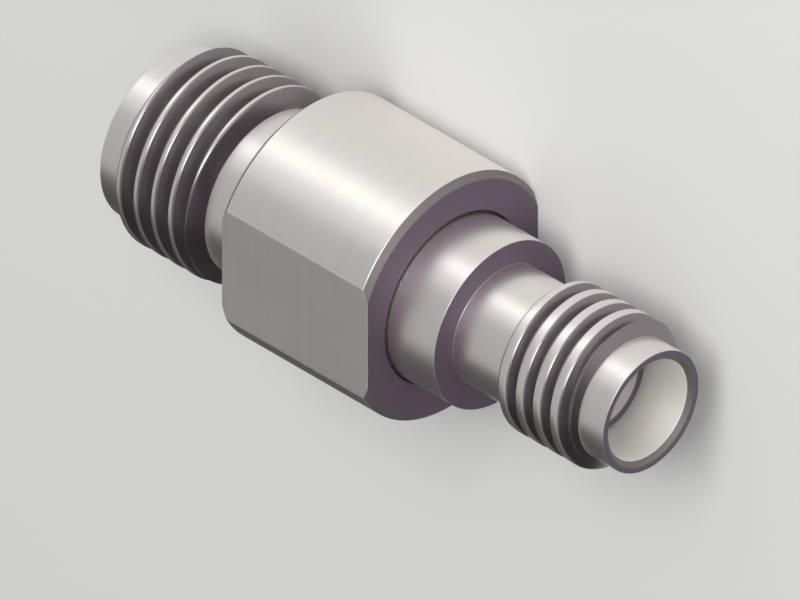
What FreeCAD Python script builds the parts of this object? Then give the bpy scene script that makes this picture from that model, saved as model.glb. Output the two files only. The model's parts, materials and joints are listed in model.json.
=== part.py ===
import FreeCAD, Part
import math
import os

# A between-series coaxial adapter, female to female, in millimetres.
# The axis runs along X, from the larger port at -X to the smaller port at +X.
# It lies on its lower wrench flat: Z is up, and the origin is the middle of the floor it covers.

# Main body, with its wrench flats
body_diameter = 8.0
body_length = 6.0
across_flats = 7.0
body_chamfer = 0.2

# Larger jack, one piece with the body
large_thread_diameter = 6.35
large_thread_length = 3.45
large_lip_diameter = 5.52
large_lip_length = 0.76
large_relief_diameter = 5.32
large_relief_length = 1.53
large_bore_diameter = 4.6
large_plane_depth = 1.9
large_mouth_chamfer = 0.15

# Smaller jack, a piece of its own
small_thread_diameter = 4.826
small_thread_length = 3.22
small_lip_diameter = 3.93
small_lip_length = 1.02
neck_diameter = 3.92
neck_length = 1.96
hub_diameter = 5.41
hub_length = 1.93
small_bore_diameter = 3.25
small_plane_depth = 1.92
small_mouth_chamfer = 0.145

# Both coupling threads, turned as rings: flanks and ends slope this far from square to the axis
thread_angle = 30.0
thread_pitch = 0.7056
large_crest_width = 0.178
small_crest_width = 0.328
groove_floor_width = 0.06
end_crest_least = 0.05

# Seat of the smaller jack in the body
recess_gap = 0.085
recess_depth = 0.5
spigot_diameter = 4.7
spigot_length = 2.0
spigot_chamfer = 0.15

# Insulators
large_insulator_diameter = 4.1
large_flange_length = 1.0
small_insulator_diameter = 2.8
small_flange_diameter = 3.4
small_flange_length = 0.8

# Centre contact
large_contact_diameter = 1.27
large_socket_diameter = 0.94
large_socket_depth = 2.9
large_slot_count = 4
large_slot_width = 0.15
large_slot_length = 2.5
small_contact_diameter = 0.86
small_socket_diameter = 0.52
small_socket_depth = 2.2
small_slot_count = 2
small_slot_width = 0.12
small_slot_length = 1.8
socket_lead_in = 0.06
drill_point_angle = 118.0
contact_recess = 0.05
collar_diameter = 2.0
collar_length = 0.6

# Clearances: a pressed fit, on the radius
press_gap = 0.01

# Stations along the axis, worked out from the sizes above
large_jack_length = large_lip_length + large_thread_length + large_relief_length
small_jack_length = small_lip_length + small_thread_length + neck_length + hub_length
overall_length = large_jack_length + body_length + small_jack_length
axis_height = across_flats / 2

large_rim = -overall_length / 2
large_plane = large_rim + large_plane_depth
body_far_face = large_rim + large_jack_length
body_near_face = body_far_face + body_length
small_rim = overall_length / 2
small_plane = small_rim - small_plane_depth
recess_floor = body_near_face - recess_depth
spigot_end = recess_floor - spigot_length
flange_seat = spigot_end - large_flange_length


def turned(outline):
    """Revolve a closed outline of (station, radius) points about the axis."""
    points = [FreeCAD.Vector(station, 0, axis_height + radius) for station, radius in outline]
    face = Part.Face(Part.makePolygon(points + points[:1]))
    return face.revolve(FreeCAD.Vector(0, 0, axis_height), FreeCAD.Vector(1, 0, 0), 360)


def thread_end(thread_diameter, root_diameter):
    """Axial length of the sloped end of a thread, from its root to its crest."""
    return (thread_diameter - root_diameter) / 2 * math.tan(math.radians(thread_angle))


def thread_grooves(crest_start, crest_stop, thread_r, crest_width):
    """Outline points of the grooves between a thread's turns, centred on the length of its crest."""
    spare = crest_stop - crest_start - 2 * end_crest_least
    count = int((spare + crest_width) / thread_pitch)
    half_width = (thread_pitch - crest_width) / 2
    half_floor = groove_floor_width / 2
    floor_r = thread_r - (half_width - half_floor) / math.tan(math.radians(thread_angle))
    first = (crest_start + crest_stop - (count - 1) * thread_pitch) / 2
    points = []
    for number in range(count):
        middle = first + number * thread_pitch
        points += [
            (middle - half_width, thread_r),
            (middle - half_floor, floor_r),
            (middle + half_floor, floor_r),
            (middle + half_width, thread_r),
        ]
    return points


def wrench_flats(body):
    """Cut the two flats, each as wide as the body's round leaves it, over the body's length only."""
    spare = body_diameter
    flats = []
    for side in (-1, 1):
        block = Part.makeBox(body_length, spare, spare)
        lowest = axis_height + side * across_flats / 2
        if side < 0:
            lowest -= spare
        block.translate(FreeCAD.Vector(body_far_face, -spare / 2, lowest))
        flats.append(block)
    return body.cut(flats)


def main_body():
    body_r = body_diameter / 2
    thread_r = large_thread_diameter / 2
    lip_r = large_lip_diameter / 2
    relief_r = large_relief_diameter / 2
    bore_r = large_bore_diameter / 2
    insulator_r = large_insulator_diameter / 2
    spigot_r = spigot_diameter / 2
    recess_r = hub_diameter / 2 + recess_gap
    thread_start = large_rim + large_lip_length
    thread_stop = thread_start + large_thread_length
    crest_start = thread_start + thread_end(large_thread_diameter, large_lip_diameter)
    crest_stop = thread_stop - thread_end(large_thread_diameter, large_relief_diameter)
    outline = [
        # Outside, from the rim of the larger port to the near face of the body
        (large_rim, bore_r + large_mouth_chamfer),
        (large_rim, lip_r),
        (thread_start, lip_r),
        (crest_start, thread_r),
        *thread_grooves(crest_start, crest_stop, thread_r, large_crest_width),
        (crest_stop, thread_r),
        (thread_stop, relief_r),
        (body_far_face, relief_r),
        (body_far_face, body_r - body_chamfer),
        (body_far_face + body_chamfer, body_r),
        (body_near_face - body_chamfer, body_r),
        (body_near_face, body_r - body_chamfer),
        # Inside, from the recess of the smaller jack back to the mouth
        (body_near_face, recess_r),
        (recess_floor, recess_r),
        (recess_floor, spigot_r + press_gap),
        (flange_seat, spigot_r + press_gap),
        (flange_seat, insulator_r + press_gap),
        (large_plane, insulator_r + press_gap),
        (large_plane, bore_r),
        (large_rim + large_mouth_chamfer, bore_r),
    ]
    return wrench_flats(turned(outline))


def small_jack():
    thread_r = small_thread_diameter / 2
    lip_r = small_lip_diameter / 2
    neck_r = neck_diameter / 2
    hub_r = hub_diameter / 2
    spigot_r = spigot_diameter / 2
    bore_r = small_bore_diameter / 2
    insulator_r = small_insulator_diameter / 2
    flange_r = small_flange_diameter / 2
    hub_face = body_near_face + hub_length
    thread_start = hub_face + neck_length
    thread_stop = thread_start + small_thread_length
    crest_start = thread_start + thread_end(small_thread_diameter, neck_diameter)
    crest_stop = thread_stop - thread_end(small_thread_diameter, small_lip_diameter)
    outline = [
        # Outside, from the spigot inside the body to the rim of the smaller port
        (spigot_end, flange_r + press_gap),
        (spigot_end, spigot_r - spigot_chamfer),
        (spigot_end + spigot_chamfer, spigot_r),
        (recess_floor, spigot_r),
        (recess_floor, hub_r),
        (hub_face, hub_r),
        (hub_face, neck_r),
        (thread_start, neck_r),
        (crest_start, thread_r),
        *thread_grooves(crest_start, crest_stop, thread_r, small_crest_width),
        (crest_stop, thread_r),
        (thread_stop, lip_r),
        (small_rim, lip_r),
        # Inside, from the mouth to the seat of the insulator's flange
        (small_rim, bore_r + small_mouth_chamfer),
        (small_rim - small_mouth_chamfer, bore_r),
        (small_plane, bore_r),
        (small_plane, insulator_r + press_gap),
        (spigot_end + small_flange_length, insulator_r + press_gap),
        (spigot_end + small_flange_length, flange_r + press_gap),
    ]
    return turned(outline)


def large_insulator():
    contact_r = large_contact_diameter / 2 + press_gap
    collar_r = collar_diameter / 2 + press_gap
    outline = [
        (large_plane, contact_r),
        (large_plane, large_insulator_diameter / 2),
        (flange_seat, large_insulator_diameter / 2),
        (flange_seat, spigot_diameter / 2),
        (spigot_end, spigot_diameter / 2),
        (spigot_end, collar_r),
        (spigot_end - collar_length, collar_r),
        (spigot_end - collar_length, contact_r),
    ]
    return turned(outline)


def small_insulator():
    contact_r = small_contact_diameter / 2 + press_gap
    outline = [
        (spigot_end, contact_r),
        (spigot_end, small_flange_diameter / 2),
        (spigot_end + small_flange_length, small_flange_diameter / 2),
        (spigot_end + small_flange_length, small_insulator_diameter / 2),
        (small_plane, small_insulator_diameter / 2),
        (small_plane, contact_r),
    ]
    return turned(outline)


def socket_slots(tip, inward, length, width, count, reach):
    """Thin blades that split a socket's tip into tines, evenly turned about the axis."""
    axis_point = FreeCAD.Vector(0, 0, axis_height)
    slots = []
    for number in range(count):
        blade = Part.makeBox(length, width, reach)
        start = tip if inward > 0 else tip - length
        blade.translate(FreeCAD.Vector(start, -width / 2, axis_height))
        blade.rotate(axis_point, FreeCAD.Vector(1, 0, 0), 360 / count * number)
        slots.append(blade)
    return slots


def centre_contact():
    large_r = large_contact_diameter / 2
    large_hole_r = large_socket_diameter / 2
    small_r = small_contact_diameter / 2
    small_hole_r = small_socket_diameter / 2
    large_tip = large_plane + contact_recess
    small_tip = small_plane - contact_recess
    large_bottom = large_tip + large_socket_depth
    small_bottom = small_tip - small_socket_depth
    # Each hole ends in the cone that a drill leaves
    drill_slope = 1 / math.tan(math.radians(drill_point_angle / 2))
    outline = [
        (large_tip, large_hole_r + socket_lead_in),
        (large_tip, large_r),
        (spigot_end - collar_length, large_r),
        (spigot_end - collar_length, collar_diameter / 2),
        (spigot_end, collar_diameter / 2),
        (spigot_end, small_r),
        (small_tip, small_r),
        (small_tip, small_hole_r + socket_lead_in),
        (small_tip - socket_lead_in, small_hole_r),
        (small_bottom, small_hole_r),
        (small_bottom - small_hole_r * drill_slope, 0),
        (large_bottom + large_hole_r * drill_slope, 0),
        (large_bottom, large_hole_r),
        (large_tip + socket_lead_in, large_hole_r),
    ]
    slots = socket_slots(
        large_tip, 1, large_slot_length, large_slot_width, large_slot_count, large_contact_diameter
    )
    slots += socket_slots(
        small_tip, -1, small_slot_length, small_slot_width, small_slot_count, small_contact_diameter
    )
    return turned(outline).cut(slots)


pieces = {
    "main_body": main_body(),
    "small_jack": small_jack(),
    "large_insulator": large_insulator(),
    "small_insulator": small_insulator(),
    "centre_contact": centre_contact(),
}

os.makedirs("parts", exist_ok=True)
for name, shape in pieces.items():
    solid = shape.Solids[0]
    solid.exportStep("parts/" + name + ".step")
    box = solid.BoundBox
    print(name, len(shape.Solids), "solid", round(solid.Volume, 3), "mm3", "valid", solid.isValid())
    print("   x", round(box.XMin, 3), round(box.XMax, 3), "z", round(box.ZMin, 3), round(box.ZMax, 3))
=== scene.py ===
"""A coaxial adapter with a larger and a smaller threaded jack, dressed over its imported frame.

The axis runs along X, from the larger port at -X to the smaller port at +X, and Z is up.
"""

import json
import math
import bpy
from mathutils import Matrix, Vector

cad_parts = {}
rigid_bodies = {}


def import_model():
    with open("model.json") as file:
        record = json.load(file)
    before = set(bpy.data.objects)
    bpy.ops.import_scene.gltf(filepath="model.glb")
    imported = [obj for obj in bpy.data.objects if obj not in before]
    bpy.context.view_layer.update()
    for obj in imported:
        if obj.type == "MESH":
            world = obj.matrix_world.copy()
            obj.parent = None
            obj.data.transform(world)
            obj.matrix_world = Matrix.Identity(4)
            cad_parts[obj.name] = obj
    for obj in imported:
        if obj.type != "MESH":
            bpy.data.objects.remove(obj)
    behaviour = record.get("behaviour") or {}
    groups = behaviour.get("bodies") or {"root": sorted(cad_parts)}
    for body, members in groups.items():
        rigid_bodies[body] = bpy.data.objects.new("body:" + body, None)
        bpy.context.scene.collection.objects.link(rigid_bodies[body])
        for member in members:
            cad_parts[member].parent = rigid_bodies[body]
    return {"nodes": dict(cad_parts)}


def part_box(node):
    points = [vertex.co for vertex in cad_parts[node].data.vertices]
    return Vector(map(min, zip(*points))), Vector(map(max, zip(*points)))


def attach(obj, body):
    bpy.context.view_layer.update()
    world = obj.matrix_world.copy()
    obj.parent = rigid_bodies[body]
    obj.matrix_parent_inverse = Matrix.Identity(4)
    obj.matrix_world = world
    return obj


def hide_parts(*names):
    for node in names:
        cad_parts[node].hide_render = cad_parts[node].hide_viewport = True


bl_info = {
    "name": "Coaxial Adapter",
    "version": (1, 0, 0),
    "blender": (4, 5, 0),
    "location": "3D View > Sidebar > Adapter",
    "description": "Builds a coaxial adapter between a larger and a smaller threaded port",
    "category": "Add Mesh",
}

import bmesh
import bpy
from bpy.props import FloatProperty, FloatVectorProperty, PointerProperty
from mathutils import Matrix, Vector

for left_over in list(bpy.data.objects):
    bpy.data.objects.remove(left_over)
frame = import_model()

MM = 0.001

# Places that the frame gives
BODY_LOW, BODY_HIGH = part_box("main_body")
JACK_LOW, JACK_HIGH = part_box("small_jack")
AXIS_HEIGHT = (BODY_LOW.z + BODY_HIGH.z) / 2
LARGE_RIM = BODY_LOW.x
BODY_NEAR_FACE = BODY_HIGH.x
SPIGOT_END = JACK_LOW.x
SMALL_RIM = JACK_HIGH.x

# Points on every circle of a turned piece, and how they are shared out over a quarter of the body
AROUND = 192
ARC_STEPS = 30
FLAT_STEPS = 16

# Vertices nearer than this are one vertex
WELD = 1e-6

# A point of a surface nearer than this to a plane or a circle lies on it
TOUCH = 0.02 * MM

# Faces that meet at less than this angle are shaded as one surface
SMOOTH_ANGLE = math.radians(50)


def length(label, about, millimetres):
    """A size, given in millimetres and kept in metres."""
    return FloatProperty(
        name=label, description=about, default=millimetres * MM, min=0, unit="LENGTH", precision=5
    )


def angle(label, about, degrees):
    """An angle, given in degrees."""
    return FloatProperty(name=label, description=about, default=math.radians(degrees), subtype="ANGLE")


def share(label, about, value):
    """A number from nothing to all."""
    return FloatProperty(name=label, description=about, default=value, min=0, max=1, subtype="FACTOR")


def colour(label, about, value):
    """A linear colour."""
    return FloatVectorProperty(
        name=label, description=about, default=value, min=0, max=1, size=3, subtype="COLOR"
    )


class BodySizes(bpy.types.PropertyGroup):
    """Sizes of the main body."""

    diameter: length("Diameter", "Across the round of the body", 8.0)
    length: length("Length", "Of the body, between its two end faces", 6.0)
    flats: length("Across Flats", "From one wrench flat to the other", 7.0)
    chamfer: length("Chamfer", "At both ends of the round", 0.2)
    recess_gap: length("Recess Gap", "Between the hub and the recess that it stands in", 0.085)
    recess_depth: length("Recess Depth", "Of the recess in the near face", 0.5)
    edge: length("Edge Rounding", "How far every machined edge is broken", 0.025)


class ThreadForm(bpy.types.PropertyGroup):
    """What the two coupling threads share."""

    pitch: length("Pitch", "From one crest to the next", 0.7056)
    flank: angle("Flank Angle", "Of the flanks and of the thread's ends, from square to the axis", 30)
    root_flat: length("Root Flat", "Width of the bottom of the groove", 0.06)
    edge: length("Crest Edge", "How far the edges of the crest are broken", 0.03)


class LargePort(bpy.types.PropertyGroup):
    """Sizes of the larger port, which is one piece with the body."""

    thread_diameter: length("Thread Diameter", "Over the crests", 6.35)
    thread_length: length("Thread Length", "With both sloped ends", 3.45)
    groove_width: length("Groove Width", "At the crests", 0.528)
    first_groove: length("First Groove", "From the rim to a groove's middle, at the side", 1.331)
    lip_diameter: length("Lip Diameter", "Of the plain lip outside the thread", 5.52)
    lip_length: length("Lip Length", "From the rim to the thread", 0.76)
    relief_diameter: length("Relief Diameter", "Between the thread and the body", 5.32)
    bore_diameter: length("Bore Diameter", "Of the mouth", 4.6)
    plane_depth: length("Plane Depth", "From the rim to the insulator", 1.9)
    mouth_chamfer: length("Mouth Chamfer", "Inside the rim", 0.15)


class SmallPort(bpy.types.PropertyGroup):
    """Sizes of the smaller jack."""

    thread_diameter: length("Thread Diameter", "Over the crests", 4.826)
    thread_length: length("Thread Length", "With both sloped ends", 3.22)
    groove_width: length("Groove Width", "At the crests", 0.378)
    first_groove: length("First Groove", "From the rim to a groove's middle, at the side", 1.413)
    lip_diameter: length("Lip Diameter", "Of the plain lip outside the thread", 3.93)
    lip_length: length("Lip Length", "From the rim to the thread", 1.02)
    neck_diameter: length("Neck Diameter", "Between the thread and the hub", 3.92)
    hub_diameter: length("Hub Diameter", "Of the step that stands in the body", 5.41)
    hub_length: length("Hub Length", "Outside the body", 1.93)
    bore_diameter: length("Bore Diameter", "Of the mouth", 3.25)
    plane_depth: length("Plane Depth", "From the rim to the insulator", 1.92)
    mouth_chamfer: length("Mouth Chamfer", "Inside the rim", 0.145)


class InnerSizes(bpy.types.PropertyGroup):
    """Sizes of the seats inside, where the two shells and the insulators meet."""

    spigot_diameter: length("Spigot Diameter", "Of the end of the jack inside the body", 4.7)
    spigot_chamfer: length("Spigot Chamfer", "At the end of the spigot", 0.15)
    large_insulator: length("Larger Insulator", "Diameter at the larger port", 4.1)
    large_flange: length("Larger Flange", "Length of the larger insulator's flange", 1.0)
    small_insulator: length("Smaller Insulator", "Diameter at the smaller port", 2.8)
    small_flange: length("Smaller Flange", "Diameter of the smaller insulator's flange", 3.4)
    small_flange_length: length("Smaller Flange Length", "Of the smaller insulator's flange", 0.8)
    press_gap: length("Press Gap", "Between pressed parts, on the radius", 0.01)


class Finishes(bpy.types.PropertyGroup):
    """Colours and gloss of the object's surfaces, some of them with painted shade and painted light.
    """

    turned_steel: colour("Turned Steel", "Where the tool ran along the axis", (0.9, 0.875, 0.835))
    # The mouths' steel is brighter and more neutral than the turned steel: painted light that lifts
    # their shade and offsets the lilac reflection of the insulator
    bored_steel: colour("Bored Steel", "Inside the two mouths", (0.93, 0.93, 0.885))
    # The end faces are darkened and tinted lilac from the steel's own colour: painted shade
    faced_steel: colour("Faced Steel", "End faces, square to the axis", (0.242, 0.184, 0.246))
    # The thread flanks, ends and grooves are darkened from the steel's own colour: painted shade in
    # the creases
    flank_steel: colour("Flank Steel", "Flanks and ends of the threads", (0.29, 0.265, 0.275))
    # The chamfers and broken edges are darkened from the steel's own colour: painted shade
    chamfer_steel: colour("Chamfer Steel", "Chamfers and broken edges", (0.28, 0.258, 0.253))
    steel_roughness: share("Steel Roughness", "Of the turned surfaces", 0.32)
    # The insulators are darkened and tinted lilac from the plastic's own white: painted shade
    insulator: colour("Insulator", "Pale waxy plastic, darkened lilac as painted shade", (0.52, 0.48, 0.55))
    gold: colour("Gold", "Plating of the contact", (0.95, 0.68, 0.28))


class Studio(bpy.types.PropertyGroup):
    """Floor, light and camera."""

    floor: colour("Floor", "Pale floor", (0.78, 0.78, 0.77))
    air: colour("Surroundings", "Soft light from all round", (0.42, 0.42, 0.42))
    dark_card: colour("Dark Card", "Seen only in the metal, beside and ahead", (0.055, 0.053, 0.052))
    low_card: colour("Low Card", "Seen only in the metal, over the shaded floor", (0.07, 0.065, 0.067))
    picture_width: length("Picture Width", "What the camera sees across", 23.229)


class AdapterSettings(bpy.types.PropertyGroup):
    """All settings of the adapter."""

    body: PointerProperty(type=BodySizes)
    thread: PointerProperty(type=ThreadForm)
    large: PointerProperty(type=LargePort)
    small: PointerProperty(type=SmallPort)
    inner: PointerProperty(type=InnerSizes)
    finish: PointerProperty(type=Finishes)
    studio: PointerProperty(type=Studio)


class Socket:
    """An output of a node, so that maths on it is written as an expression."""

    def __init__(self, nodes, socket):
        self.nodes = nodes
        self.socket = socket

    def maths(self, operation, *values):
        made = self.nodes.add("ShaderNodeMath", {"operation": operation}, dict(enumerate(values)))
        return made["Value"]

    def __add__(self, other):
        return self.maths("ADD", self, other)

    def __sub__(self, other):
        return self.maths("SUBTRACT", self, other)

    def __rsub__(self, other):
        return self.maths("SUBTRACT", other, self)

    def __mul__(self, other):
        return self.maths("MULTIPLY", self, other)

    def __truediv__(self, other):
        return self.maths("DIVIDE", self, other)

    def __rtruediv__(self, other):
        return self.maths("DIVIDE", other, self)

    def __gt__(self, other):
        return self.maths("GREATER_THAN", self, other)

    def __lt__(self, other):
        return self.maths("LESS_THAN", self, other)

    def __abs__(self):
        return self.maths("ABSOLUTE", self)

    __radd__ = __add__
    __rmul__ = __mul__

    def floor(self):
        return self.maths("FLOOR", self)

    def at_least(self, other):
        return self.maths("MAXIMUM", self, other)

    def at_most(self, other):
        return self.maths("MINIMUM", self, other)

    def sine(self):
        return self.maths("SINE", self)

    def cosine(self):
        return self.maths("COSINE", self)

    def tangent(self):
        return self.maths("TANGENT", self)

    def root(self):
        return self.maths("SQRT", self)

    def ramped(self, low, high):
        """Nothing below low, one above high, and eased between them."""
        settings = {"interpolation_type": "SMOOTHSTEP"}
        values = {"Value": self, "From Min": low, "From Max": high}
        return self.nodes.add("ShaderNodeMapRange", settings, values)["Result"]


class Made:
    """A node that was added, with its outputs by name or number."""

    def __init__(self, nodes, node):
        self.nodes = nodes
        self.node = node

    def __getitem__(self, name):
        return Socket(self.nodes, self.node.outputs[name])


# The sockets of a Mix node that colours use, where several have the same name
MIX_AMOUNT = 0
MIX_FIRST = 6
MIX_SECOND = 7
MIX_RESULT = 2


class Nodes:
    """Adds nodes to a tree and links them."""

    def __init__(self, tree):
        self.tree = tree

    def add(self, kind, settings=None, values=None):
        """A node of a kind, with its settings made before the values or links of its sockets."""
        node = self.tree.nodes.new(kind)
        for name, setting in (settings or {}).items():
            # An index switch gets as many items as it has choices
            if name == "items":
                while len(node.index_switch_items) < setting:
                    node.index_switch_items.new()
            else:
                setattr(node, name, setting)
        for name, value in (values or {}).items():
            if isinstance(value, Socket):
                self.tree.links.new(value.socket, node.inputs[name])
            else:
                node.inputs[name].default_value = value
        return Made(self, node)

    def mix(self, amount, first, second, blend="MIX"):
        """Two colours mixed, or blended in another way."""
        first, second = (tone if isinstance(tone, Socket) else (*tone, 1) for tone in (first, second))
        settings = {"data_type": "RGBA", "blend_type": blend}
        values = {MIX_AMOUNT: amount, MIX_FIRST: first, MIX_SECOND: second}
        return self.add("ShaderNodeMix", settings, values)[MIX_RESULT]


# What the thread's tree is given, with the kind of each
THREAD_INPUTS = {
    "Segments": "NodeSocketInt",
    "Turns": "NodeSocketInt",
    "Low Station": "NodeSocketFloat",
    "High Station": "NodeSocketFloat",
    "Low Radius": "NodeSocketFloat",
    "High Radius": "NodeSocketFloat",
    "Crest Radius": "NodeSocketFloat",
    "Pitch": "NodeSocketFloat",
    "Groove Width": "NodeSocketFloat",
    "Groove Station": "NodeSocketFloat",
    "Root Flat": "NodeSocketFloat",
    "Flank Angle": "NodeSocketFloat",
    "Edge": "NodeSocketFloat",
    "Axis Height": "NodeSocketFloat",
    "Material": "NodeSocketMaterial",
}

# Points on each groove: two for its floor, and four for the crest that follows it
GROOVE_POINTS = 6

# Points that end a column of the tube, one at each end
END_POINTS = 2

# Keeps a whole number from being lost in rounding when it is divided or compared
HALF_STEP = 0.5

# Turns that the tube has beyond the thread's length, so that grooves reach past both its ends
SPARE_TURNS = 3


def thread_tree():
    """A tube with a helical groove, whose ends slope down to plain circles."""
    tree = bpy.data.node_groups.new("coupling thread", "GeometryNodeTree")
    for name, kind in THREAD_INPUTS.items():
        tree.interface.new_socket(name=name, in_out="INPUT", socket_type=kind)
    tree.interface.new_socket(name="Geometry", in_out="OUTPUT", socket_type="NodeSocketGeometry")
    nodes = Nodes(tree)
    given = nodes.add("NodeGroupInput")
    low, high = given["Low Station"], given["High Station"]
    crest, pitch, edge = given["Crest Radius"], given["Pitch"], given["Edge"]
    half = given["Groove Width"] / 2
    half_floor = given["Root Flat"] / 2
    slope = 1 / given["Flank Angle"].tangent()
    root = crest - (half - half_floor) * slope

    # Where each end slope meets the crest, and the floor of the groove
    low_crest = low + (crest - given["Low Radius"]) / slope
    high_crest = high - (crest - given["High Radius"]) / slope
    low_floor = low_crest - (half - half_floor)
    high_floor = high_crest + (half - half_floor)

    # Each vertex has a column round the axis and a place along it
    per_column = given["Turns"] * GROOVE_POINTS + END_POINTS
    index = nodes.add("GeometryNodeInputIndex")["Index"]
    column = ((index + HALF_STEP) / per_column).floor()
    place = index - column * per_column - 1
    turn = column / given["Segments"]
    groove = ((place + HALF_STEP) / GROOVE_POINTS).floor()
    point = place - groove * GROOVE_POINTS

    # The first groove lies wholly below the thread
    before = ((low - half - pitch - given["Groove Station"]) / pitch).floor()
    middle = given["Groove Station"] + pitch * (turn + groove + before)
    floor_start = (middle - half_floor).at_least(low_floor).at_most(high_floor)
    floor_end = (middle + half_floor).at_least(low_floor).at_most(high_floor)
    next_floor = (middle + pitch - half_floor).at_least(low_floor).at_most(high_floor)

    # The crest lies between a flank or slope that rises to it and one that falls from it. Where these
    # cross below it, they leave a lower ridge, which keeps a top as wide as one eased edge.
    rise = (middle + half).at_least(low_crest)
    fall = (middle + pitch - half).at_most(high_crest)
    ridge = (rise + fall) / 2
    half_top = (fall - rise) / 2
    top = (crest - (edge / 2 - half_top).at_least(0) * slope).at_least(root)
    half_width = half_top.at_least(edge / 2)
    top_start = (ridge - half_width).at_least(floor_end).at_most(high_floor)
    top_end = (ridge + half_width).at_most(next_floor).at_least(low_floor)
    bevel = ((top - root) / slope).at_most(edge).at_most(half_width)
    stations = (
        floor_start,
        floor_end,
        top_start - bevel,
        top_start + bevel,
        top_end - bevel,
        top_end + bevel,
    )
    flank_radius = top - bevel * slope
    radii = (root, root, flank_radius, top, top, flank_radius)

    def at_point(choices):
        """The choice for the vertex's place in its groove."""
        values = {str(number): choice for number, choice in enumerate(choices)}
        switch = nodes.add(
            "GeometryNodeIndexSwitch",
            {"data_type": "FLOAT", "items": len(choices)},
            {"Index": point, **values},
        )
        return switch["Output"]

    # The first and the last vertex of a column end the tube
    first = place < 0
    last = place > per_column - (END_POINTS + HALF_STEP)
    between = 1 - first - last
    station = at_point(stations) * between + low * first + high * last
    radius = at_point(radii) * between + given["Low Radius"] * first + given["High Radius"] * last
    around = turn * math.tau
    position = nodes.add(
        "ShaderNodeCombineXYZ",
        values={
            "X": station,
            "Y": radius * around.cosine(),
            "Z": given["Axis Height"] + radius * around.sine(),
        },
    )
    rows = nodes.add("FunctionNodeFloatToInt", {"rounding_mode": "ROUND"}, {0: per_column})
    grid = nodes.add(
        "GeometryNodeMeshGrid",
        values={"Vertices X": given["Segments"] + 1, "Vertices Y": rows["Integer"]},
    )
    placed = nodes.add(
        "GeometryNodeSetPosition", values={"Geometry": grid["Mesh"], "Position": position["Vector"]}
    )
    whole = nodes.add("GeometryNodeRealizeInstances", values={"Geometry": placed["Geometry"]})
    dressed = nodes.add(
        "GeometryNodeSetMaterial",
        values={"Geometry": whole["Geometry"], "Material": given["Material"]},
    )
    nodes.add("NodeGroupOutput", values={"Geometry": dressed["Geometry"]})
    return tree


def thread_mesh(tree, values):
    """The plain mesh that the thread's tree makes from its named inputs."""
    host = bpy.data.objects.new("thread host", bpy.data.meshes.new("thread host"))
    bpy.context.scene.collection.objects.link(host)
    modifier = host.modifiers.new("coupling thread", "NODES")
    modifier.node_group = tree
    for item in tree.interface.items_tree:
        if item.in_out == "INPUT":
            modifier[item.identifier] = values[item.name]
    evaluated = host.evaluated_get(bpy.context.evaluated_depsgraph_get())
    mesh = bpy.data.meshes.new_from_object(evaluated)
    bpy.data.objects.remove(host)
    return mesh


def thread_values(settings, port, low, high, low_radius, high_radius, groove_station, material):
    """The inputs of the thread's tree for one port."""
    form = settings.thread
    span = port.thread_length + port.groove_width
    return {
        "Segments": AROUND,
        "Turns": math.ceil(span / form.pitch) + SPARE_TURNS,
        "Low Station": low,
        "High Station": high,
        "Low Radius": low_radius,
        "High Radius": high_radius,
        "Crest Radius": port.thread_diameter / 2,
        "Pitch": form.pitch,
        "Groove Width": port.groove_width,
        "Groove Station": groove_station,
        "Root Flat": form.root_flat,
        "Flank Angle": form.flank,
        "Edge": form.edge,
        "Axis Height": AXIS_HEIGHT,
        "Material": material,
    }


def threaded_shape(values, rings):
    """The thread that its tree makes, with the rest of the piece closed on by rings of points."""
    shape = bmesh.new()
    shape.from_mesh(thread_mesh(thread_tree(), values))
    skin(shape, rings)
    return shape


# Most of a side that the rounding of one of its corners may take
SIDE_SHARE = 0.4

# Points that take the place of each corner when it is rounded
CORNER_POINTS = 3


def eased(outline, edge):
    """Round every corner of an outline of (station, radius) points, and keep its two ends."""
    points = [Vector(point) for point in outline]
    rounded = [points[0]]
    for before, corner, after in zip(points, points[1:], points[2:]):
        back, onward = before - corner, after - corner
        reach = min(edge, back.length * SIDE_SHARE, onward.length * SIDE_SHARE)
        back.normalize()
        onward.normalize()
        half_turn = (math.pi - back.angle(onward)) / 2
        inward = (back + onward).normalized()
        sagitta = reach / math.tan(half_turn) * (1 / math.cos(half_turn) - 1)
        rounded += [corner + back * reach, corner + inward * sagitta, corner + onward * reach]
    rounded.append(points[-1])
    return rounded


def round_ring(station, radius):
    """A circle of points about the axis."""
    turns = [math.tau * number / AROUND for number in range(AROUND)]
    return [
        Vector((station, radius * math.cos(turn), AXIS_HEIGHT + radius * math.sin(turn)))
        for turn in turns
    ]


def turned_rings(outline, edge):
    """A circle for each point of an outline whose corners are eased."""
    return [round_ring(station, radius) for station, radius in eased(outline, edge)]


def flatted_ring(station, radius, height, edge):
    """A circle that two flats cut at a height from the axis, with its corners eased."""
    corner_angle = math.asin(height / radius)
    half_width = radius * math.cos(corner_angle)
    arc_end = corner_angle - edge / radius
    quarter = [
        (radius * math.cos(arc_end * step / ARC_STEPS), radius * math.sin(arc_end * step / ARC_STEPS))
        for step in range(ARC_STEPS + 1)
    ]
    turn = math.pi / 2 - corner_angle
    sagitta = edge / math.tan(turn / 2) * (1 / math.cos(turn / 2) - 1)
    outward = (corner_angle + math.pi / 2) / 2
    quarter.append((half_width - sagitta * math.cos(outward), height - sagitta * math.sin(outward)))
    quarter += [
        ((half_width - edge) * (1 - step / FLAT_STEPS), height) for step in range(FLAT_STEPS + 1)
    ]
    # The quarter has one point more than its steps, which the next quarter starts with
    ring = [(y, z) for y, z in quarter[:-1]]
    ring += [(-y, z) for y, z in quarter[:0:-1]]
    ring += [(-y, -z) for y, z in quarter[:-1]]
    ring += [(y, -z) for y, z in quarter[:0:-1]]
    return [Vector((station, y, AXIS_HEIGHT + z)) for y, z in ring]


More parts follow.
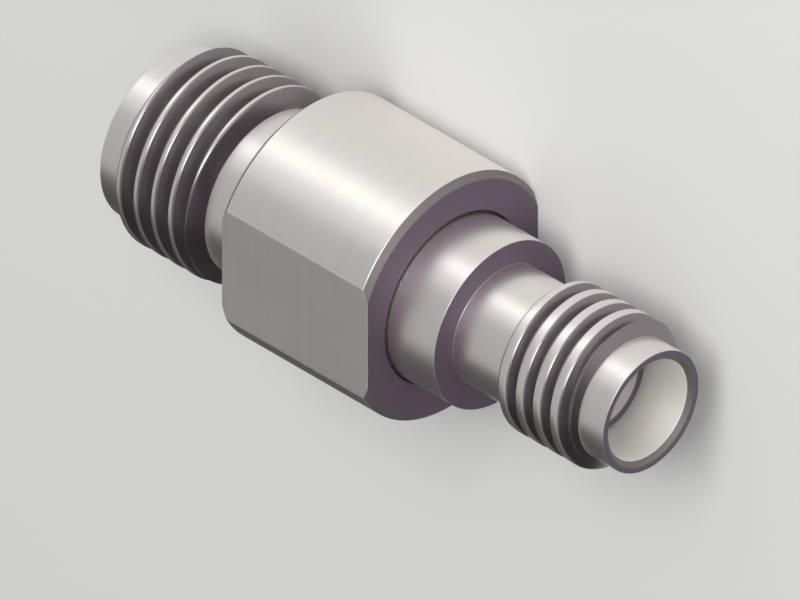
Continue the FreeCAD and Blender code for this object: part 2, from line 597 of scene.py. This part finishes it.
def skin(shape, rings):
    """Add to a shape the faces that join each ring of points to the next."""
    rows = [[shape.verts.new(point) for point in ring] for ring in rings]
    for row, following in zip(rows, rows[1:]):
        for number in range(len(row)):
            onward = (number + 1) % len(row)
            shape.faces.new((row[number], row[onward], following[onward], following[number]))


def shading_normals(shape):
    """A normal for each corner of each face: large faces stay even, and small ones at edges blend."""
    shape.verts.index_update()
    limit = math.cos(SMOOTH_ANGLE)
    normals = []
    for face in shape.faces:
        for corner in face.loops:
            total = Vector((0, 0, 0))
            for other in corner.vert.link_faces:
                if other.normal.dot(face.normal) > limit:
                    total += other.normal * (other.calc_area() / MM**2)
            normals.append(total.normalized())
    return normals


def finish_piece(name, shape, material, node):
    """Weld a shape, make sure that it is closed, and make it the piece that stands for a node of the
    frame.
    """
    bmesh.ops.remove_doubles(shape, verts=shape.verts, dist=WELD)
    bmesh.ops.recalc_face_normals(shape, faces=shape.faces)
    if not all(edge.is_manifold for edge in shape.edges):
        raise RuntimeError(f"{name} isn't closed")
    shape.normal_update()
    normals = shading_normals(shape)
    mesh = bpy.data.meshes.new(name)
    shape.to_mesh(mesh)
    shape.free()
    mesh.shade_smooth()
    mesh.normals_split_custom_set(normals)
    mesh.materials.clear()
    mesh.materials.append(material)
    piece = bpy.data.objects.new(name, mesh)
    bpy.context.scene.collection.objects.link(piece)
    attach(piece, "root")
    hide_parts(node)


def new_material(name):
    """An empty node material, with its tree."""
    material = bpy.data.materials.new(name)
    material.use_nodes = True
    material.node_tree.nodes.clear()
    return material, Nodes(material.node_tree)


def surface(nodes, values):
    """End a material's tree with a shader of the given values."""
    shader = nodes.add("ShaderNodeBsdfPrincipled", values=values)
    nodes.add("ShaderNodeOutputMaterial", values={"Surface": shader["BSDF"]})


class Places:
    """Where the points of a surface lie along the axis and about it, on Object coordinates."""

    def __init__(self, nodes):
        self.point = nodes.add("ShaderNodeTexCoord")["Object"]
        parts = nodes.add("ShaderNodeSeparateXYZ", values={"Vector": self.point})
        self.station = parts["X"]
        self.across = parts["Y"]
        self.height = parts["Z"] - AXIS_HEIGHT
        self.distance = (self.across * self.across + self.height * self.height).root()


# The value that a noise swings about
NOISE_MIDDLE = 0.5


def tool_marks(nodes, along, per_millimetre, detail, roughness=0.5):
    """A noise that changes along one line only, as the marks of a tool do."""
    noise = nodes.add(
        "ShaderNodeTexNoise",
        {"noise_dimensions": "1D"},
        {"W": along / MM, "Scale": per_millimetre, "Detail": detail, "Roughness": roughness},
    )
    return noise["Fac"]


def patches(nodes, point, per_metre, detail):
    """A noise that changes softly in every direction."""
    values = {"Vector": point, "Scale": per_metre, "Detail": detail}
    return nodes.add("ShaderNodeTexNoise", values=values)["Fac"]


def swing(noise, by):
    """What a noise adds to or takes from a value."""
    return (noise - NOISE_MIDDLE) * by


def clouded(nodes, cloud, tone, darkest):
    """A colour that a noise darkens in patches."""
    return nodes.mix(cloud, tone, [part * darkest for part in tone])


def marked_normal(nodes, height, strength, depth):
    """The normal of a surface with marks of a depth in it."""
    values = {"Height": height, "Strength": strength, "Distance": depth}
    return nodes.add("ShaderNodeBump", values=values)["Normal"]


def within(value, low, high):
    """One between two values, and nothing outside them."""
    return (value > low) * (value < high)


# How far a surface turns to face along the axis, where each of these darker tones, painted shade, and
# their roughness begins and is whole
FLANK_SLOPE = (0.12, 0.4)
CHAMFER_SLOPE = (0.35, 0.6)
FACED_SLOPE = (0.93, 0.97)


def thread_shade(places, slope, start, port, edge):
    """One on the flanks, ends and grooves of a port's thread, and nothing elsewhere: where painted
    shade darkens the thread.
    """
    wall_middle = (port.bore_diameter + port.lip_diameter) / 4
    along = within(places.station, start, start + port.thread_length) * (places.distance > wall_middle)
    flank = slope.ramped(*FLANK_SLOPE)
    groove = places.distance < port.thread_diameter / 2 - 2 * edge
    return along * flank.at_least(groove)


# How much a step along the axis counts in the place of a lathe's mark, against a step away from it
LATHE_SHARE = 0.83

# How far beyond the larger rim the centre of the mill's arcs lies
MILL_REACH = 20 * MM

# How much rougher than the turned rounds the other surfaces of the steel are
FACED_ROUGHER = 0.05
FLAT_ROUGHER = 0.1
CHAMFER_ROUGHER = 0.35
BORE_ROUGHER = 0.4

# How much deeper than elsewhere the tool marks in a bore are
BORE_DEEPER = 8


def steel(settings):
    """Turned stainless steel: fine tool marks round the axis, milled marks on the flats, painted light
    in the mouths and painted shade on the end faces, chamfers and threads.
    """
    if "stainless steel" in bpy.data.materials:
        return bpy.data.materials["stainless steel"]
    material, nodes = new_material("stainless steel")
    finish, large, small = settings.finish, settings.large, settings.small
    places = Places(nodes)
    station, distance = places.station, places.distance
    facing = nodes.add("ShaderNodeTexCoord")["Normal"]
    slope = abs(nodes.add("ShaderNodeSeparateXYZ", values={"Vector": facing})["X"])
    faced = slope.ramped(*FACED_SLOPE)
    chamfer = slope.ramped(*CHAMFER_SLOPE)
    edge = settings.thread.edge
    thread = thread_shade(places, slope, LARGE_RIM + large.lip_length, large, edge)
    small_start = SMALL_RIM - small.lip_length - small.thread_length
    thread += thread_shade(places, slope, small_start, small, edge)
    on_flat = abs(places.height) > settings.body.flats / 2 - TOUCH
    large_bore = within(station, LARGE_RIM, LARGE_RIM + large.plane_depth - TOUCH)
    small_bore = within(station, SMALL_RIM - small.plane_depth + TOUCH, SMALL_RIM)
    in_bore = large_bore * (distance < large.bore_diameter / 2 + TOUCH)
    in_bore += small_bore * (distance < small.bore_diameter / 2 + TOUCH)

    # Tool marks follow the outline of the turned parts, and wide arcs on the milled flats
    lathe = distance + station * LATHE_SHARE
    reach = station - (LARGE_RIM - MILL_REACH)
    mill = (reach * reach + places.across * places.across).root()
    along = lathe + (mill - lathe) * on_flat
    fine = tool_marks(nodes, along, per_millimetre=22.0, detail=3.0, roughness=0.65)
    broad = tool_marks(nodes, along, per_millimetre=3.1, detail=2.0)
    haze = patches(nodes, places.point, per_metre=420.0, detail=4.0)

    # Each kind of surface has its tone, and the marks and the haze change it a little
    # The brighter mouths are painted light, and the darker chamfers, thread flanks and grooves and end
    # faces are painted shade
    bored = nodes.mix(in_bore, finish.turned_steel, finish.bored_steel)
    chamfered = nodes.mix(chamfer, bored, finish.chamfer_steel)
    threaded = nodes.mix(thread, chamfered, finish.flank_steel)
    toned = nodes.mix(faced, threaded, finish.faced_steel)
    shade = 1 - swing(fine, by=0.06) - swing(broad, by=0.05) - swing(haze, by=0.05)
    tint = nodes.add("ShaderNodeCombineColor", values={0: shade, 1: shade, 2: shade})["Color"]
    rough = finish.steel_roughness + swing(haze, by=0.1) + swing(fine, by=0.06)
    rougher = (
        chamfer * (1 - thread) * CHAMFER_ROUGHER
        + faced * FACED_ROUGHER
        + on_flat * FLAT_ROUGHER
        + in_bore * BORE_ROUGHER
    )
    marks = fine * (in_bore * BORE_DEEPER + 1)
    surface(
        nodes,
        {
            "Base Color": nodes.mix(1, toned, tint, blend="MULTIPLY"),
            "Metallic": 1.0,
            "Roughness": rough + rougher,
            "Normal": marked_normal(nodes, marks, strength=0.5, depth=0.0008 * MM),
        },
    )
    return material


def insulator_plastic(settings):
    """Waxy plastic, its white darkened and tinted lilac as painted shade, with faint tool marks."""
    material, nodes = new_material("insulator plastic")
    places = Places(nodes)
    along = places.distance + places.station
    marks = tool_marks(nodes, along, per_millimetre=18.0, detail=2.0)
    cloud = patches(nodes, places.point, per_metre=900.0, detail=3.0)
    surface(
        nodes,
        {
            "Base Color": clouded(nodes, cloud, settings.finish.insulator, darkest=0.88),
            "Roughness": 0.42 + swing(marks, by=0.1),
            "Subsurface Weight": 0.15,
            "Subsurface Scale": 0.3 * MM,
            "Normal": marked_normal(nodes, marks, strength=0.4, depth=0.001 * MM),
        },
    )
    return material


def gold_plate(settings):
    """Gold plating over a turned contact."""
    material, nodes = new_material("gold plate")
    places = Places(nodes)
    along = places.distance + places.station
    marks = tool_marks(nodes, along, per_millimetre=26.0, detail=2.0)
    cloud = patches(nodes, places.point, per_metre=1500.0, detail=3.0)
    surface(
        nodes,
        {
            "Base Color": clouded(nodes, cloud, settings.finish.gold, darkest=0.82),
            "Metallic": 1.0,
            "Roughness": 0.2 + swing(cloud, by=0.1),
            "Normal": marked_normal(nodes, marks, strength=0.4, depth=0.0006 * MM),
        },
    )
    return material


# Width of the ring of faces that is kept beside an edge on an end face of the body
FACE_RING = 0.3 * MM

# Rows of faces on each chamfer of the body
CHAMFER_STEPS = 4


class ADAPTER_OT_main_body(bpy.types.Operator):
    """Build the body with its wrench flats and the larger threaded port"""

    bl_idname = "adapter.main_body"
    bl_label = "Main Body"

    def execute(self, context):
        settings = context.scene.adapter
        body, port, inner = settings.body, settings.large, settings.inner
        edge = body.edge
        lip = port.lip_diameter / 2
        relief = port.relief_diameter / 2
        bore = port.bore_diameter / 2
        full = body.diameter / 2
        low = LARGE_RIM + port.lip_length
        high = low + port.thread_length
        far_face = BODY_NEAR_FACE - body.length
        plane = LARGE_RIM + port.plane_depth
        recess = settings.small.hub_diameter / 2 + body.recess_gap
        recess_floor = BODY_NEAR_FACE - body.recess_depth
        seat = inner.spigot_diameter / 2 + inner.press_gap
        flange_seat = SPIGOT_END - inner.large_flange
        insulator = inner.large_insulator / 2 + inner.press_gap

        # Outside from the thread to the body, with a ring left on the body's far face
        rings = turned_rings(
            [(high, relief), (far_face, relief), (far_face, relief + FACE_RING)],
            edge,
        )
        # The round with its chamfers and flats, whose ends are eased as well
        bevel = body.chamfer
        corners = [(0, full - 2 * bevel), (0, full - bevel), (bevel, full), (2 * bevel, full)]
        ends = eased(corners, edge)[1:-1]
        face_corner, round_corner = ends[:CORNER_POINTS], ends[CORNER_POINTS:]
        steps = [step / CHAMFER_STEPS for step in range(1, CHAMFER_STEPS)]
        between = [face_corner[-1].lerp(round_corner[0], step) for step in steps]
        sides = []
        for depth, radius in (*face_corner, *between, *round_corner):
            dip = max(edge - depth, 0)
            height = body.flats / 2 - edge + math.sqrt(edge**2 - dip**2)
            sides.append((depth, radius, height))
        rings += [
            flatted_ring(far_face + depth, radius, height, edge)
            for depth, radius, height in sides
        ]
        rings += [
            flatted_ring(BODY_NEAR_FACE - depth, radius, height, edge)
            for depth, radius, height in sides[::-1]
        ]
        # Inside, from the recess of the smaller jack to the mouth, and round the lip to the thread
        rings += turned_rings(
            [
                (BODY_NEAR_FACE, recess + FACE_RING),
                (BODY_NEAR_FACE, recess),
                (recess_floor, recess),
                (recess_floor, seat),
                (flange_seat, seat),
                (flange_seat, insulator),
                (plane, insulator),
                (plane, bore),
                (LARGE_RIM + port.mouth_chamfer, bore),
                (LARGE_RIM, bore + port.mouth_chamfer),
                (LARGE_RIM, lip),
                (low, lip),
            ],
            edge,
        )
        material = steel(settings)
        station = LARGE_RIM + port.first_groove
        values = thread_values(settings, port, low, high, lip, relief, station, material)
        shape = threaded_shape(values, rings)
        finish_piece("threaded_body", shape, material, "main_body")
        return {"FINISHED"}


class ADAPTER_OT_small_jack(bpy.types.Operator):
    """Build the smaller threaded jack that stands in the body"""

    bl_idname = "adapter.small_jack"
    bl_label = "Smaller Jack"

    def execute(self, context):
        settings = context.scene.adapter
        port, inner = settings.small, settings.inner
        edge = settings.body.edge
        lip = port.lip_diameter / 2
        neck = port.neck_diameter / 2
        hub = port.hub_diameter / 2
        bore = port.bore_diameter / 2
        spigot = inner.spigot_diameter / 2
        flange = inner.small_flange / 2 + inner.press_gap
        insulator = inner.small_insulator / 2 + inner.press_gap
        high = SMALL_RIM - port.lip_length
        low = high - port.thread_length
        hub_face = BODY_NEAR_FACE + port.hub_length
        recess_floor = BODY_NEAR_FACE - settings.body.recess_depth
        plane = SMALL_RIM - port.plane_depth
        flange_end = SPIGOT_END + inner.small_flange_length
        rings = turned_rings(
            [
                # Outside, from the thread back to the end of the spigot
                (low, neck),
                (hub_face, neck),
                (hub_face, hub),
                (recess_floor, hub),
                (recess_floor, spigot),
                (SPIGOT_END + inner.spigot_chamfer, spigot),
                (SPIGOT_END, spigot - inner.spigot_chamfer),
                # Inside, from the seat of the insulator to the mouth, and round the lip to the thread
                (SPIGOT_END, flange),
                (flange_end, flange),
                (flange_end, insulator),
                (plane, insulator),
                (plane, bore),
                (SMALL_RIM - port.mouth_chamfer, bore),
                (SMALL_RIM, bore + port.mouth_chamfer),
                (SMALL_RIM, lip),
                (high, lip),
            ],
            edge,
        )
        material = steel(settings)
        station = SMALL_RIM - port.first_groove
        values = thread_values(settings, port, low, high, neck, lip, station, material)
        shape = threaded_shape(values, rings)
        finish_piece("threaded_jack", shape, material, "small_jack")
        return {"FINISHED"}


class ADAPTER_OT_inside(bpy.types.Operator):
    """Finish the two insulators and the centre contact"""

    bl_idname = "adapter.inside"
    bl_label = "Insulators and Contact"

    def execute(self, context):
        settings = context.scene.adapter
        plastic = insulator_plastic(settings)
        gold = gold_plate(settings)
        finishes = {"large_insulator": plastic, "small_insulator": plastic, "centre_contact": gold}
        for name, material in finishes.items():
            for slot in frame["nodes"][name].material_slots:
                slot.material = material
        return {"FINISHED"}


def soft_box(name, place, size, radiance):
    """A soft box that faces the middle of the axis and is as bright as its radiance."""
    lamp = bpy.data.lights.new(name, "AREA")
    lamp.shape = "RECTANGLE"
    lamp.size, lamp.size_y = size
    lamp.energy = radiance * math.pi * lamp.size * lamp.size_y
    light = bpy.data.objects.new(name, lamp)
    light.location = place
    toward = Vector((0, 0, AXIS_HEIGHT)) - Vector(place)
    light.rotation_euler = toward.to_track_quat("-Z", "Y").to_euler()
    light.visible_camera = False
    bpy.context.scene.collection.objects.link(light)


def level_corners(left, near, right, far, height):
    """Corners of a level rectangle."""
    return [(left, near, height), (right, near, height), (right, far, height), (left, far, height)]


def sheet(name, corners, material):
    """A flat sheet that isn't part of the object."""
    mesh = bpy.data.meshes.new(name)
    mesh.from_pydata(corners, [], [tuple(range(len(corners)))])
    mesh.materials.append(material)
    made = bpy.data.objects.new(name, mesh)
    bpy.context.scene.collection.objects.link(made)
    return made


def reflected_card(name, corners, shade):
    """A card that shows only in reflections, and casts no shadow."""
    material, nodes = new_material(name)
    light = nodes.add("ShaderNodeEmission", values={"Color": (*shade, 1), "Strength": 1.0})
    nodes.add("ShaderNodeOutputMaterial", values={"Surface": light["Emission"]})
    card = sheet(name, corners, material)
    card.visible_camera = False
    card.visible_diffuse = False
    card.visible_transmission = False
    card.visible_shadow = False


def standing_card(name, toward, width, height, shade):
    """A reflected card that stands on the floor and faces the object."""
    middle = Vector(toward).normalized() * CARD_REACH
    side = Vector((middle.y, -middle.x, 0)).normalized() * width / 2
    top = Vector((0, 0, height))
    corners = [middle - side, middle + side, middle + side + top, middle - side + top]
    reflected_card(name, corners, shade)


# How far the floor reaches to every side, in metres as all else on the stage is
FLOOR_REACH = 1.5

# How far from the origin the low card reaches and the others stand
CARD_REACH = 0.15

# Where the low card begins, to the shaded side of the object, and its height over the floor
LOW_CARD_START = -0.0115
LOW_CARD_HEIGHT = 0.00002

# Each standing card has a name, a direction from the origin, a width and a height
STANDING_CARDS = (
    ("dark card -1", (-0.585, -0.811, 0), 0.1, 0.138),
    ("dark card 1", (0.585, -0.811, 0), 0.1, 0.138),
    ("card ahead", (0.964, -0.267, 0), 0.112, 0.07),
)

# Each soft box has a name, a place, a width and height, and a radiance
SOFT_BOXES = (
    ("low strip", (0, 0.24, 0.045), (0.7, 0.09), 0.6),
    ("tall strip", (0, 0.25, 0.1), (0.7, 0.2), 0.3),
    ("key", (0.11, 0.17, 0.22), (0.13, 0.13), 10.0),
)

# Width of the photograph in pixels, and how far right of its middle and below it the smaller rim is
PHOTO_WIDTH = 800
RIM_RIGHT = 250.97
RIM_BELOW = 112.2

# How far the camera stands from what it aims at, and how far it sees
CAMERA_DISTANCE = 0.08
CAMERA_SIGHT = 5


class ADAPTER_OT_stage(bpy.types.Operator):
    """Lay the floor, and set the light and the camera"""

    bl_idname = "adapter.stage"
    bl_label = "Floor, Light and Camera"

    def execute(self, context):
        studio = context.scene.adapter.studio
        scene = context.scene
        floor_material, nodes = new_material("floor")
        surface(nodes, {"Base Color": (*studio.floor, 1), "Roughness": 0.9, "Specular IOR Level": 0.1})
        whole = level_corners(-FLOOR_REACH, -FLOOR_REACH, FLOOR_REACH, FLOOR_REACH, 0)
        sheet("floor", whole, floor_material)
        shaded = level_corners(-CARD_REACH, -CARD_REACH, CARD_REACH, LOW_CARD_START, LOW_CARD_HEIGHT)
        reflected_card("low card", shaded, studio.low_card)
        for name, toward, width, height in STANDING_CARDS:
            standing_card(name, toward, width, height, studio.dark_card)
        world = bpy.data.worlds.new("surroundings")
        world.use_nodes = True
        world.node_tree.nodes.clear()
        nodes = Nodes(world.node_tree)
        air = nodes.add("ShaderNodeBackground", values={"Color": (*studio.air, 1), "Strength": 1.0})
        nodes.add("ShaderNodeOutputWorld", values={"Surface": air["Background"]})
        scene.world = world
        for name, place, size, radiance in SOFT_BOXES:
            soft_box(name, place, size, radiance)

        # The camera looks from the corner of a cube, as it does in the photograph
        right = Vector((1, 0, -1)).normalized()
        up = Vector((-1, 2, -1)).normalized()
        back = right.cross(up)
        scale = studio.picture_width / PHOTO_WIDTH
        rim = Vector((SMALL_RIM, 0, AXIS_HEIGHT))
        centre = rim - right * RIM_RIGHT * scale + up * RIM_BELOW * scale
        camera_data = bpy.data.cameras.new("camera")
        camera_data.type = "ORTHO"
        camera_data.ortho_scale = studio.picture_width
        camera_data.clip_start = MM
        camera_data.clip_end = CAMERA_SIGHT
        camera = bpy.data.objects.new("camera", camera_data)
        turn = Matrix((right, up, back)).transposed().to_4x4()
        camera.matrix_world = Matrix.Translation(centre + back * CAMERA_DISTANCE) @ turn
        scene.collection.objects.link(camera)
        scene.camera = camera
        scene.view_settings.view_transform = "Standard"
        return {"FINISHED"}


class ADAPTER_PT_panel(bpy.types.Panel):
    """Lists the adapter's pieces"""

    bl_idname = "ADAPTER_PT_panel"
    bl_label = "Coaxial Adapter"
    bl_space_type = "VIEW_3D"
    bl_region_type = "UI"
    bl_category = "Adapter"

    def draw(self, context):
        column = self.layout.column()
        for operator in OPERATORS:
            column.operator(operator.bl_idname)


OPERATORS = (ADAPTER_OT_main_body, ADAPTER_OT_small_jack, ADAPTER_OT_inside, ADAPTER_OT_stage)
GROUPS = (BodySizes, ThreadForm, LargePort, SmallPort, InnerSizes, Finishes, Studio, AdapterSettings)


def register():
    for one in (*GROUPS, *OPERATORS, ADAPTER_PT_panel):
        bpy.utils.register_class(one)
    bpy.types.Scene.adapter = PointerProperty(type=AdapterSettings)


def unregister():
    del bpy.types.Scene.adapter
    for one in reversed((*GROUPS, *OPERATORS, ADAPTER_PT_panel)):
        bpy.utils.unregister_class(one)


def main():
    """Build the whole adapter and its stage."""
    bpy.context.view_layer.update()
    register()
    bpy.ops.adapter.main_body()
    bpy.ops.adapter.small_jack()
    bpy.ops.adapter.inside()
    bpy.ops.adapter.stage()


if __name__ == "__main__":
    main()
